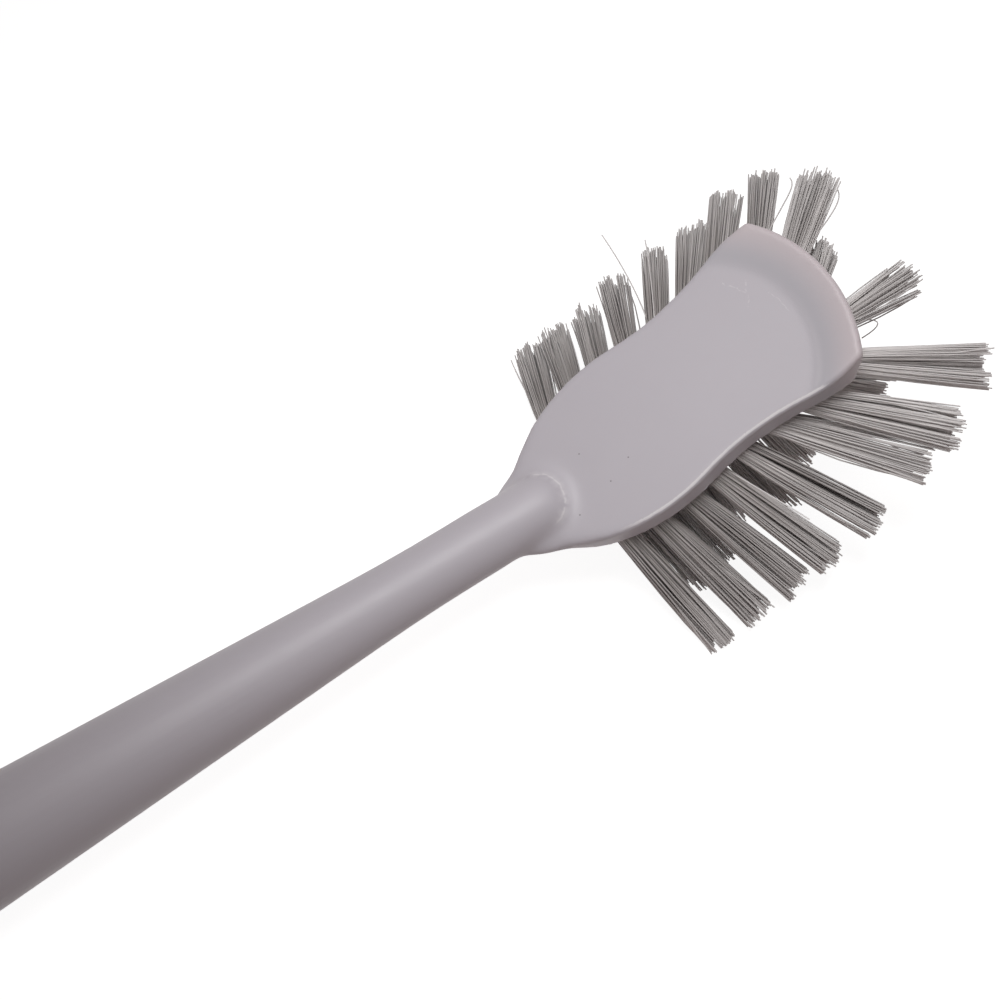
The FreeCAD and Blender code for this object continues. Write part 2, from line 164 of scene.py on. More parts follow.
class Graph:
    """A node tree with short calls that add and link nodes."""

    def __init__(self, tree: NodeTree) -> None:
        """Start on a tree."""
        self.tree = tree

    def feed(self, node: Node, inputs: dict) -> None:
        """Give a node its inputs.

        Args:
            node: the node.
            inputs: what each input gets, by name or index: a socket to link or a plain value.
        """
        for key, value in inputs.items():
            socket = node.inputs[key]
            if isinstance(value, Socket):
                self.tree.links.new(value, socket)
            elif socket.type == "RGBA":
                socket.default_value = (*value, 1.0)
            else:
                socket.default_value = value

    def add(self, kind: str, inputs: dict | None = None, **settings: object) -> Node:
        """Add a node.

        Args:
            kind: Blender's identifier of the node.
            inputs: what each input gets, as for feed.
            settings: the node's own settings.

        Returns:
            The new node.
        """
        node = self.tree.nodes.new(kind)
        for name, value in settings.items():
            setattr(node, name, value)
        self.feed(node, inputs or {})
        return node

    def math(self, operation: str, first: object, second: object = 0.0) -> Socket:
        """Return the result of a Math node on two sockets or numbers."""
        return self.add("ShaderNodeMath", {0: first, 1: second}, operation=operation).outputs[0]

    def product(self, first: object, *others: object) -> Socket:
        """Return the product of two or more sockets or numbers."""
        for other in others:
            first = self.math("MULTIPLY", first, other)
        return first

    def vector(self, operation: str, first: object, second: object) -> Socket:
        """Return the result of a Vector Math node on two sockets or vectors."""
        result = "Value" if operation in ("DISTANCE", "DOT_PRODUCT") else "Vector"
        return self.add("ShaderNodeVectorMath", {0: first, 1: second}, operation=operation).outputs[result]

    def ramp(self, value: object, low: float, high: float) -> Socket:
        """Return a smooth step that goes from 0 at low to 1 at high."""
        inputs = {"Value": value, "From Min": low, "From Max": high}
        return self.add("ShaderNodeMapRange", inputs, interpolation_type="SMOOTHSTEP").outputs["Result"]

    def mix(self, share: object, first: object, second: object) -> Socket:
        """Return a colour mixed from the first to the second by a share."""
        return self.add("ShaderNodeMix", {0: share, 6: first, 7: second}, data_type="RGBA").outputs[2]

    def noise(self, vector: object, scale: object, detail: float = 2.0) -> Socket:
        """Return the value of a Noise texture."""
        inputs = {"Vector": vector, "Scale": scale, "Detail": detail}
        return self.add("ShaderNodeTexNoise", inputs).outputs["Fac"]

    def stroke(self, vector: object, start: Vector, end: Vector, width: float) -> Socket:
        """Return a mask of a thin straight line.

        Args:
            vector: the coordinates that the line lies in.
            start: where the line starts.
            end: where it ends.
            width: how far from its middle it fades to nothing.

        Returns:
            The mask, 1 on the line.
        """
        run = end - start
        onward = self.vector("SUBTRACT", vector, start)
        share = self.vector("DOT_PRODUCT", onward, run / run.length_squared)
        share = self.math("MINIMUM", self.math("MAXIMUM", share, 0.0), 1.0)
        along = self.add("ShaderNodeVectorMath", {0: run, "Scale": share}, operation="SCALE").outputs[0]
        return self.ramp(self.vector("DISTANCE", onward, along), width, 0.0)


class EffectShelf:
    """Node groups for effects that finishes share, each built once when it is first asked for."""

    MIDDLE = 0.5
    FINE_DETAIL = 3.0
    GRAIN_PATCH_SCALE = 0.03
    SCRATCH_STRETCH = (0.02, 1.0, 0.3)
    SCRATCH_FADE: Fade = (0.66, 0.72)
    SCRATCH_PATCH_SCALE = 0.02
    SCRATCH_PATCH_FADE: Fade = (0.62, 0.72)

    def __init__(self) -> None:
        """Start with nothing built."""
        self.built: dict[str, NodeTree] = {}

    def place(self, graph: Graph, name: str, inputs: dict) -> Node:
        """Place one of the effects in a material.

        Args:
            graph: the material's graph.
            name: the name of the effect, which is a method of this class.
            inputs: what each input gets.

        Returns:
            The group node.
        """
        if name not in self.built:
            self.built[name] = getattr(self, name)()
        return graph.add("ShaderNodeGroup", inputs, node_tree=self.built[name])

    @staticmethod
    def start(
        name: str, inputs: dict[str, str], outputs: dict[str, str]
    ) -> tuple[Graph, dict[str, Socket], Node]:
        """Open a new group.

        Args:
            name: the group's name.
            inputs: the kind of each input socket, such as Float, by name.
            outputs: the kind of each output socket, by name.

        Returns:
            The graph, its input sockets by name and its output node.
        """
        tree = bpy.data.node_groups.new(name, "ShaderNodeTree")
        for way, sockets in (("INPUT", inputs), ("OUTPUT", outputs)):
            for label, kind in sockets.items():
                tree.interface.new_socket(label, in_out=way, socket_type="NodeSocket" + kind)
        graph = Graph(tree)
        source = graph.add("NodeGroupInput")
        target = graph.add("NodeGroupOutput")
        return graph, {label: source.outputs[label] for label in inputs}, target

    @classmethod
    def swing(cls, graph: Graph, value: Socket, amount: Socket) -> Socket:
        """Return a noise value as a swing to both sides of zero."""
        return graph.product(graph.math("SUBTRACT", value, cls.MIDDLE), amount)

    @classmethod
    def tone_drift(cls) -> NodeTree:
        """Return a group that lets a colour drift a little lighter and darker over the surface."""
        inputs = {"Color": "Color", "Vector": "Vector", "Scale": "Float", "Amount": "Float"}
        graph, given, target = cls.start("tone_drift", inputs, {"Color": "Color"})
        drift = graph.noise(given["Vector"], given["Scale"], cls.FINE_DETAIL)
        value = graph.math("ADD", cls.swing(graph, drift, given["Amount"]), 1.0)
        tone = graph.add("ShaderNodeHueSaturation", {"Color": given["Color"], "Value": value})
        graph.feed(target, {"Color": tone.outputs["Color"]})
        return graph.tree

    @classmethod
    def fine_grain(cls) -> NodeTree:
        """Return a group with the fine grain of a worked surface, as a height and a roughness."""
        inputs = {"Vector": "Vector", "Scale": "Float", "Roughness": "Float", "Swing": "Float"}
        graph, given, target = cls.start("fine_grain", inputs, {"Height": "Float", "Roughness": "Float"})
        grain = graph.noise(given["Vector"], given["Scale"], cls.FINE_DETAIL)
        patches = graph.noise(given["Vector"], graph.product(given["Scale"], cls.GRAIN_PATCH_SCALE))
        roughness = graph.math("ADD", given["Roughness"], cls.swing(graph, patches, given["Swing"]))
        graph.feed(target, {"Height": grain, "Roughness": roughness})
        return graph.tree

    @classmethod
    def scratches(cls) -> NodeTree:
        """Return a group with a mask of fine straight scratches that come and go."""
        inputs = {"Vector": "Vector", "Scale": "Float", "Turn": "Vector", "Cover": "Float"}
        graph, given, target = cls.start("scratches", inputs, {"Mask": "Float"})
        turned = graph.add(
            "ShaderNodeMapping",
            {"Vector": given["Vector"], "Rotation": given["Turn"], "Scale": cls.SCRATCH_STRETCH},
        )
        thin = graph.ramp(graph.noise(turned.outputs[0], given["Scale"], 1.0), *cls.SCRATCH_FADE)
        patches = graph.noise(given["Vector"], graph.product(given["Scale"], cls.SCRATCH_PATCH_SCALE), 1.0)
        here = graph.ramp(graph.math("ADD", patches, given["Cover"]), *cls.SCRATCH_PATCH_FADE)
        graph.feed(target, {"Mask": graph.product(thin, here)})
        return graph.tree


def new_material(name: str) -> tuple[Material, Graph, Node]:
    """Open a new material.

    Args:
        name: the material's name.

    Returns:
        The material, its graph and its Principled shader.
    """
    material = bpy.data.materials.new(name)
    material.use_nodes = True
    return material, Graph(material.node_tree), material.node_tree.nodes["Principled BSDF"]


@dataclass(frozen=True)
class Texture:
    """How far the tone of a finish drifts, and how fine, rough and deep its grain is."""

    drift_scale: float
    drift_amount: float
    grain_scale: float
    roughness: float
    swing: float
    strength: float = 0.0
    depth: float = 0.0

    def tone(self, graph: Graph, shelf: EffectShelf, place: Socket, colour: object) -> Socket:
        """Return a colour that drifts a little over the surface."""
        drift = {"Color": colour, "Vector": place, "Scale": self.drift_scale, "Amount": self.drift_amount}
        return shelf.place(graph, "tone_drift", drift).outputs["Color"]

    def grain(self, graph: Graph, shelf: EffectShelf, place: Socket) -> NodeOutputs:
        """Return the height and the roughness of the grain."""
        grain = {"Vector": place, "Scale": self.grain_scale, "Roughness": self.roughness, "Swing": self.swing}
        return shelf.place(graph, "fine_grain", grain).outputs

    def normal(self, graph: Graph, height: Socket) -> Socket:
        """Return the normal of a surface with the given height."""
        bump = {"Height": height, "Strength": self.strength, "Distance": self.depth}
        return graph.add("ShaderNodeBump", bump).outputs["Normal"]


@dataclass(frozen=True)
class HeadPlaces:
    """Coordinates in the head's own frame for a material to draw in: whole, flat and one by one."""

    graph: Graph
    whole: Socket
    flat: Socket
    x: Socket
    y: Socket
    z: Socket

    @staticmethod
    def of(graph: Graph, head: HeadFrame) -> "HeadPlaces":
        """Add the nodes that turn object coordinates into the head's own frame.

        Args:
            graph: the material's graph.
            head: how the head lies.

        Returns:
            The coordinates.
        """
        whole = graph.add(
            "ShaderNodeMapping",
            {"Vector": graph.add("ShaderNodeTexCoord").outputs["Object"], "Location": head.neck,
             "Rotation": (0.0, -math.radians(head.pitch_deg), 0.0)},
            vector_type="TEXTURE",
        ).outputs[0]
        flat = graph.vector("MULTIPLY", whole, (1.0, 1.0, 0.0))
        return HeadPlaces(graph, whole, flat, *graph.add("ShaderNodeSeparateXYZ", {"Vector": whole}).outputs)


@dataclass(frozen=True)
class SatinPolypropylene:
    """Satin mauve-grey polypropylene with the lines of its mould, specks and scratches, painted highlights on
    its near rim and round the nose, painted shade past the lip's crease and a painted glow at the lip's thin
    edge.

    Fades and spots are places in the head's own frame, apart from the fades of tilts and noise. The crease's
    fade and the start of the lip's edge are measured outwards from the crease.
    """

    head: HeadFrame
    body: Colour = (0.456, 0.433, 0.468)
    # Painted shade just past the lip's crease, and a painted glow of light through the lip's thin edge.
    lip_crease_shade: Colour = (0.415, 0.402, 0.434)
    lip_edge_glow: Colour = (0.530, 0.474, 0.494)
    pale_mark_and_highlight: Colour = (0.70, 0.68, 0.695)
    speck: Colour = (0.12, 0.11, 0.11)
    texture: Texture = Texture(
        drift_scale=38.0, drift_amount=0.05, grain_scale=5200.0, roughness=0.48, swing=0.10, strength=0.12,
        depth=0.0001,
    )
    ior: float = 1.49
    milky_weight: float = 0.12
    milky_radius: Point = (1.0, 0.85, 0.85)
    milky_scale: float = 0.0015
    lip_start: Fade = (0.045, 0.053)
    crease_fade: Fade = (-0.0016, 0.0024)
    edge_start: float = 0.0015
    scuff_scale: float = 900.0
    scuff_turn: Point = (0.0, 0.35, 0.5)
    scuff_cover: float = 0.02
    scuff_share: float = 0.35
    # Where the painted highlight along the near rim lies: its tilts, heights, ends and side.
    rim_tilts: tuple[Fade, ...] = ((0.995, 0.95), (0.62, 0.82))
    rim_heights: tuple[Fade, ...] = ((-0.0012, -0.0006), (0.0004, 0.0001))
    rim_ends: tuple[Fade, ...] = ((0.010, 0.018), (0.066, 0.056))
    rim_side: tuple[Fade, ...] = ((0.004, -0.004),)
    parting_depth: float = 0.0060
    parting_width: float = 0.0002
    parting_start: Fade = (0.004, 0.012)
    parting_share: float = 0.5
    parting_height: float = 6.0
    # Where the painted highlight round the nose lies, with its soft halo.
    nose_centre_x: float = 0.0019
    nose_radius: float = 0.00575
    nose_width: float = 0.00035
    nose_halo: float = 0.0012
    nose_halo_share: float = 0.4
    nose_wobble: float = 0.0006
    nose_wobble_scale: float = 420.0
    nose_start: Fade = (0.0014, 0.0049)
    nose_bottom: Fade = (-0.002, -0.0005)
    nose_patch_scale: float = 700.0
    nose_patch_fade: Fade = (0.30, 0.60)
    nose_share: float = 0.75
    speck_radius: float = 0.00024
    speck_spots: tuple[Spot, ...] = (
        (0.0139, 0.0030), (0.0157, -0.0053), (0.0072, -0.0067), (0.0210, -0.0038),
    )
    scratch_width: float = 0.00020
    scratch_waver: float = 0.0020
    scratch_waver_scale: float = 330.0
    scratch_break_scale: float = 1500.0
    scratch_break_fade: Fade = (0.35, 0.60)
    scratch_share: float = 0.32
    scratch_runs: tuple[tuple[Spot, Spot], ...] = (
        ((0.0545, 0.0113), (0.0567, 0.0069)),
        ((0.0581, 0.0088), (0.0552, 0.0041)),
        ((0.0598, 0.0040), (0.0607, -0.0015)),
    )

    def build(self, shelf: EffectShelf) -> Material:
        """Make the material, with its patterns placed in the head's own frame.

        Args:
            shelf: the shared effects.

        Returns:
            The material.
        """
        material, graph, shader = new_material("satin_polypropylene")
        on = HeadPlaces.of(graph, self.head)
        toned = self.texture.tone(graph, shelf, on.whole, self.body)
        # The pale colour goes over scuffs, scratches and the painted highlights on the rim and the nose.
        colour = graph.mix(self.wear_and_highlights(on, shelf), self.paint_lip_shade_and_glow(on, toned), self.pale_mark_and_highlight)
        colour = graph.mix(self.specks(on), colour, self.speck)
        parting = self.parting_line(on)
        colour = graph.mix(graph.product(parting, self.parting_share), colour, self.pale_mark_and_highlight)
        grain = self.texture.grain(graph, shelf, on.whole)
        height = graph.math("ADD", grain["Height"], graph.product(parting, self.parting_height))
        normal = self.texture.normal(graph, height)
        graph.feed(shader, {
            "Base Color": colour, "Roughness": grain["Roughness"], "Normal": normal, "IOR": self.ior,
            "Subsurface Weight": self.milky_weight, "Subsurface Radius": self.milky_radius,
            "Subsurface Scale": self.milky_scale,
        })
        return material

    def paint_lip_shade_and_glow(self, on: HeadPlaces, body: Socket) -> Socket:
        """Paint shade on the lip just past its crease, cooler and darker, and a painted glow of light through
        its thin edge, paler and pinkish.

        Args:
            on: the head's coordinates.
            body: the colour of the rest.

        Returns:
            The colour.
        """
        graph = on.graph
        reach = graph.vector("DISTANCE", on.flat, (self.head.crease_axis_x, 0.0, 0.0))
        beyond = graph.math("SUBTRACT", reach, self.head.crease_radius)
        on_lip = graph.ramp(on.x, *self.lip_start)
        past = graph.ramp(beyond, *self.crease_fade)
        crease_shaded = graph.mix(graph.product(past, on_lip), body, self.lip_crease_shade)
        edge = graph.ramp(beyond, self.edge_start, self.head.lip_width)
        return graph.mix(graph.product(edge, on_lip), crease_shaded, self.lip_edge_glow)

    def wear_and_highlights(self, on: HeadPlaces, shelf: EffectShelf) -> Socket:
        """Draw the pale marks: faint scuffs and single scratches, with the painted highlights along the near
        rim and round the nose.

        Args:
            on: the head's coordinates.
            shelf: the shared effects.

        Returns:
            The mask of the marks.
        """
        graph = on.graph
        scuffs = {"Vector": on.whole, "Scale": self.scuff_scale, "Turn": self.scuff_turn,
                  "Cover": self.scuff_cover}
        marks = graph.product(shelf.place(graph, "scratches", scuffs).outputs["Mask"], self.scuff_share)
        swirl = graph.add("ShaderNodeTexNoise", {"Vector": on.flat, "Scale": self.scratch_waver_scale})
        centred = graph.vector("SUBTRACT", swirl.outputs["Color"], (0.5, 0.5, 0.5))
        waver = (self.scratch_waver, self.scratch_waver, 0.0)
        wavy = graph.vector("ADD", on.flat, graph.vector("MULTIPLY", centred, waver))
        broken = graph.ramp(graph.noise(on.flat, self.scratch_break_scale, 1.0), *self.scratch_break_fade)
        faint = graph.product(broken, self.scratch_share)
        for start, end in self.scratch_runs:
            line = graph.stroke(wavy, Vector((*start, 0.0)), Vector((*end, 0.0)), self.scratch_width)
            marks = graph.math("MAXIMUM", marks, graph.product(line, faint))
        marks = graph.math("MAXIMUM", marks, self.painted_rim_highlight(on))
        return graph.math("MAXIMUM", marks, self.painted_nose_highlight(on))

    def painted_rim_highlight(self, on: HeadPlaces) -> Socket:
        """Draw a painted highlight along the edge of the head's back, on its near side.

        Args:
            on: the head's coordinates.

        Returns:
            The mask of the line.
        """
        graph = on.graph
        normal = graph.add("ShaderNodeTexCoord").outputs["Normal"]
        tilt = graph.vector("DOT_PRODUCT", normal, self.head.up())
        bounds = (
            (tilt, self.rim_tilts), (on.z, self.rim_heights), (on.x, self.rim_ends), (on.y, self.rim_side),
        )
        return graph.product(*(graph.ramp(value, *fade) for value, fades in bounds for fade in fades))

    def painted_nose_highlight(self, on: HeadPlaces) -> Socket:
        """Draw the uneven painted highlight, a pale line with a soft halo, where the nose of the handle meets
        the head.

        Args:
            on: the head's coordinates.

        Returns:
            The mask of the line.
        """
        graph = on.graph
        reach = graph.vector("DISTANCE", on.flat, (self.nose_centre_x, 0.0, 0.0))
        wobble = graph.product(graph.noise(on.flat, self.nose_wobble_scale), self.nose_wobble)
        uneven = graph.math("ADD", reach, wobble)
        off = graph.math("ABSOLUTE", graph.math("SUBTRACT", uneven, self.nose_radius + self.nose_wobble / 2))
        halo = graph.product(graph.ramp(off, self.nose_halo, 0.0), self.nose_halo_share)
        line = graph.math("MAXIMUM", graph.ramp(off, self.nose_width, 0.0), halo)
        ahead = graph.ramp(on.x, *self.nose_start)
        level = graph.ramp(on.z, *self.nose_bottom)
        patchy = graph.ramp(graph.noise(on.flat, self.nose_patch_scale, 1.0), *self.nose_patch_fade)
        return graph.product(line, patchy, ahead, level, self.nose_share)

    def specks(self, on: HeadPlaces) -> Socket:
        """Draw the few tiny dark specks.

        Args:
            on: the head's coordinates.

        Returns:
            The mask of the specks.
        """
        marks = 0.0
        for spot in self.speck_spots:
            off = on.graph.vector("DISTANCE", on.flat, (*spot, 0.0))
            marks = on.graph.math("MAXIMUM", marks, on.graph.ramp(off, self.speck_radius, 0.0))
        return marks

    def parting_line(self, on: HeadPlaces) -> Socket:
        """Return a mask of the mould's parting line, low on the side of the head."""
        off = on.graph.math("ABSOLUTE", on.graph.math("ADD", on.z, self.parting_depth))
        line = on.graph.ramp(off, self.parting_width, 0.0)
        return on.graph.product(line, on.graph.ramp(on.x, *self.parting_start))


@dataclass(frozen=True)
class BristleFilament:
    """Pale grey monofilament, each strand in its own tint, which also carries its row's painted light and
    shade, darker at the root and chalky at the cut.
    """

    pale: Colour = (0.78, 0.755, 0.748)
    dull: Colour = (0.29, 0.267, 0.259)
    root: Colour = (0.24, 0.205, 0.192)
    root_fade: Fade = (0.30, 0.0)
    root_share: float = 0.25
    cut: Colour = (0.80, 0.785, 0.78)
    cut_fade: Fade = (0.55, 1.0)
    cut_share: float = 0.42
    texture: Texture = Texture(
        drift_scale=260.0, drift_amount=0.16, grain_scale=4200.0, roughness=0.40, swing=0.16
    )
    ior: float = 1.50

    def build(self, shelf: EffectShelf) -> Material:
        """Make the material, which reads each strand's tint and place along it.

        Args:
            shelf: the shared effects.

        Returns:
            The material.
        """
        material, graph, shader = new_material("bristle_filament")
        place = graph.add("ShaderNodeTexCoord").outputs["Object"]
        # The tint holds each strand's own tone and its row's painted light and shade.
        tint = graph.add("ShaderNodeAttribute", attribute_name=STRAND_TINT).outputs["Fac"]
        along = graph.add("ShaderNodeAttribute", attribute_name=STRAND_ALONG).outputs["Fac"]
        colour = self.texture.tone(graph, shelf, place, graph.mix(tint, self.dull, self.pale))
        for fade, share, end in (
            (self.root_fade, self.root_share, self.root), (self.cut_fade, self.cut_share, self.cut),
        ):
            colour = graph.mix(graph.product(graph.ramp(along, *fade), share), colour, end)
        roughness = self.texture.grain(graph, shelf, place)["Roughness"]
        graph.feed(shader, {"Base Color": colour, "Roughness": roughness, "IOR": self.ior})
        return material


@dataclass(frozen=True)
class AnchorSteel:
    """Flat drawn steel wire with fine draw marks."""

    steel: Colour = (0.56, 0.55, 0.53)
    texture: Texture = Texture(
        drift_scale=400.0, drift_amount=0.2, grain_scale=9000.0, roughness=0.34, swing=0.2, strength=0.2,
        depth=0.00003,
    )
    mark_scale: float = 6000.0
    mark_turn: Point = (0.0, 0.0, math.pi / 2)
    mark_cover: float = 0.3

    def build(self, shelf: EffectShelf) -> Material:
        """Make the material.

        Args:
            shelf: the shared effects.

        Returns:
            The material.
        """
        material, graph, shader = new_material("anchor_steel")
        place = graph.add("ShaderNodeTexCoord").outputs["Object"]
        drawn = {"Vector": place, "Scale": self.mark_scale, "Turn": self.mark_turn, "Cover": self.mark_cover}
        marks = shelf.place(graph, "scratches", drawn).outputs["Mask"]
        grain = self.texture.grain(graph, shelf, place)
        normal = self.texture.normal(graph, graph.math("SUBTRACT", grain["Height"], marks))
        toned = self.texture.tone(graph, shelf, place, self.steel)
        graph.feed(
            shader, {"Base Color": toned, "Roughness": grain["Roughness"], "Normal": normal, "Metallic": 1.0}
        )
        return material


@dataclass(frozen=True)
class PaleFloor:
    """White table top that shows white to the camera and keeps the shadow of the brush."""

    seen: Colour = (0.40, 0.40, 0.40)
    glow: float = 0.90
    bounce: Colour = (0.54, 0.430, 0.408)

    def build(self) -> Material:
        """Return the material: a dim diffuse bounce, and a white look for the camera and reflections."""
        material, graph, shader = new_material("pale_floor")
        graph.tree.nodes.remove(shader)
        shade = graph.add("ShaderNodeBsdfDiffuse", {"Color": self.seen})
        glow = graph.add("ShaderNodeEmission", {"Strength": self.glow})
        white = graph.add("ShaderNodeAddShader", {0: shade.outputs[0], 1: glow.outputs[0]})
        bounce = graph.add("ShaderNodeBsdfDiffuse", {"Color": self.bounce})
        split_look(graph, "Material Output", white, bounce)
        return material


def split_look(graph: Graph, output: str, direct: Node, rest: Node) -> None:
    """Show one shader to rays from the camera and reflected or transmitted rays, another to the rest.

    Args:
        graph: the graph of the material or the world.
        output: the name of its output node.
        direct: the shader for the camera and for reflections.
        rest: the shader for the other rays.
    """
    path = graph.add("ShaderNodeLightPath").outputs
    mirrored = graph.math("MAXIMUM", path["Is Glossy Ray"], path["Is Transmission Ray"])
    share = graph.math("MAXIMUM", path["Is Camera Ray"], mirrored)
    look = graph.add("ShaderNodeMixShader", {0: share, 1: rest.outputs[0], 2: direct.outputs[0]})
    graph.feed(graph.tree.nodes[output], {"Surface": look.outputs[0]})


def new_object(name: str, data: ID) -> Piece:
    """Return a new object in the scene for a mesh, a light or a camera."""
    item = bpy.data.objects.new(name, data)
    bpy.context.scene.collection.objects.link(item)
    return item


def select_only(*objects: Piece) -> None:
    """Select the given objects and nothing else, the last of them active."""
    bpy.ops.object.select_all(action="DESELECT")
    for item in objects:
        item.select_set(True)
    bpy.context.view_layer.objects.active = objects[-1]


def apply_modifier(piece: Piece, kind: str, **settings: object) -> None:
    """Add a modifier to a piece and apply it.

    Args:
        piece: the piece.
        kind: Blender's identifier of the modifier.
        settings: the modifier's own settings.
    """
    modifier = piece.modifiers.new(kind.lower(), kind)
    for name, value in settings.items():
        setattr(modifier, name, value)
    select_only(piece)
    bpy.ops.object.modifier_apply(modifier=modifier.name)


def vertex_places(mesh: Mesh) -> np.ndarray:
    """Return the places of a mesh's vertices, one row each."""
    places = np.empty(len(mesh.vertices) * 3, np.float32)
    mesh.vertices.foreach_get("co", places)
    return places.reshape(-1, 3).astype(float)


def seat_piece(piece: Piece, slot: Slot, *nodes: str) -> None:
    """Let a finished piece ride on the brush and stand for its CAD nodes."""
    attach(piece, BODY)
    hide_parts(*nodes)


@dataclass
class HandleMoulding:
    """The one-piece handle and head, with soft edges, a web on each side of the neck and a soft nose."""

    head: HeadFrame
    node: str = "handle_head"
    voxel: float = 0.00045
    merge_gap: float = 0.000001
    nose_x: float = 0.003
    nose_reach: float = 0.015
    nose_hold: float = 1.5
    nose_passes: int = 140
    edge_passes: int = 2
    pass_strength: float = 0.5
    web_place: Point = (0.0, 0.0069, -0.0016)
    web_reach: Point = (0.0082, 0.0024, 0.0019)
    web_turn_deg: float = 21.0
    web_tilt_deg: float = 14.0
    web_segments: int = 32

    def build(self, frame: dict) -> Piece:
        """Model the moulding over its CAD node.


        Returns:
            The finished piece, still without its material.
        """
        piece = new_object("handle_moulding", frame["nodes"][self.node].data.copy())
        piece.data.materials.clear()
        webs = [self.neck_web(side) for side in (-1, 1)]
        select_only(*webs, piece)
        bpy.ops.object.join()
        bpy.ops.object.mode_set(mode="EDIT")
        bpy.ops.mesh.select_all(action="SELECT")
        bpy.ops.mesh.remove_doubles(threshold=self.merge_gap)
        bpy.ops.object.mode_set(mode="OBJECT")
        apply_modifier(piece, "REMESH", mode="VOXEL", voxel_size=self.voxel)
        self.weigh_nose(piece)
        smoothing = {"kind": "SMOOTH", "factor": self.pass_strength}
        apply_modifier(piece, iterations=self.nose_passes, vertex_group="nose", **smoothing)
        apply_modifier(piece, iterations=self.edge_passes, **smoothing)
        select_only(piece)
        bpy.ops.object.shade_smooth()
        return piece

    def neck_web(self, side: int) -> Piece:
        """Model the web that eases one side of the head into the handle.

        Args:
            side: 1 for the far side and -1 for the near side.

        Returns:
            The web, still a mesh of its own.
        """
        bpy.ops.object.select_all(action="DESELECT")
        bpy.ops.mesh.primitive_uv_sphere_add(segments=self.web_segments, ring_count=self.web_segments // 2)
        web = bpy.context.object
        place = Matrix.Translation((self.web_place[0], side * self.web_place[1], self.web_place[2]))
        turn = Matrix.Rotation(side * math.radians(self.web_turn_deg), 4, "Z")
        tilt = Matrix.Rotation(math.radians(self.web_tilt_deg), 4, "Y")
        web.matrix_world = self.head.matrix() @ place @ turn @ tilt @ Matrix.Diagonal((*self.web_reach, 1.0))
        bpy.ops.object.transform_apply(location=True, rotation=True, scale=True)
        return web

    def weigh_nose(self, piece: Piece) -> None:
        """Weigh the vertices near the nose of the handle, where the blend is softened most."""
        to_head = np.array(self.head.matrix().inverted())
        places = vertex_places(piece.data) @ to_head[:3, :3].T + to_head[:3, 3]
        apart = np.linalg.norm(places - np.array([self.nose_x, 0.0, 0.0]), axis=1)
        weights = np.clip(self.nose_hold - self.nose_hold * apart / self.nose_reach, 0.0, 1.0)
        group = piece.vertex_groups.new(name="nose")
        for index in np.flatnonzero(weights):
            group.add([int(index)], float(weights[index]), "REPLACE")

    def dress(self, piece: Piece, finish: SatinPolypropylene, shelf: EffectShelf) -> None:
        """Give the moulding its finish and seat it on the frame."""
        piece.data.materials.append(finish.build(shelf))
        seat_piece(piece, Slot.MOULDING, self.node)


@dataclass(frozen=True)
class Fan:
    """How the strands of a tuft spread at their tips: half-widths, mean tint with the row's painted light and
    shade, and raggedness of the cut.
    """

    across: float
    over: float
    tint: float
    ragged: float


@dataclass(frozen=True)
class TuftSeat:
    """Where one tuft stands: the mouth of its hole, its direction, its free length and its fan."""

    node: str
    root: Vector
    way: Vector
    length: float
    fan: Fan


@dataclass(frozen=True)
class Clump:
    """A few strands that cling together: their place in the tuft, their drift at the tips, cut and tint."""

    spot: np.ndarray
    drift: np.ndarray
    cut: float
    tint: float


@dataclass(frozen=True)
class Stray:
    """A filament that has sprung out of its tuft, with the pixels of the photograph that draw it along."""

    node: str
    pixels: tuple[Pixel, ...]


def numbered(row: str, *pixels: Pixel) -> dict[str, Pixel]:
    """Return the pixels of a row of tufts by node name, numbered from 1."""
    return {f"{row}_{number}": pixel for number, pixel in enumerate(pixels, 1)}


def disc_spot(index: int, count: int) -> np.ndarray:
    """Return one of many spots spread evenly over a disc of radius 1."""
    angle = index * math.pi * (3.0 - math.sqrt(5.0))
    return math.sqrt((index + 0.5) / count) * np.array([math.cos(angle), math.sin(angle)])


def bezier(points: list[np.ndarray], share: float) -> np.ndarray:
    """Return the point at a share of the curve that the points control."""
    while len(points) > 1:
        points = [(1.0 - share) * start + share * end for start, end in zip(points, points[1:])]
    return points[0]


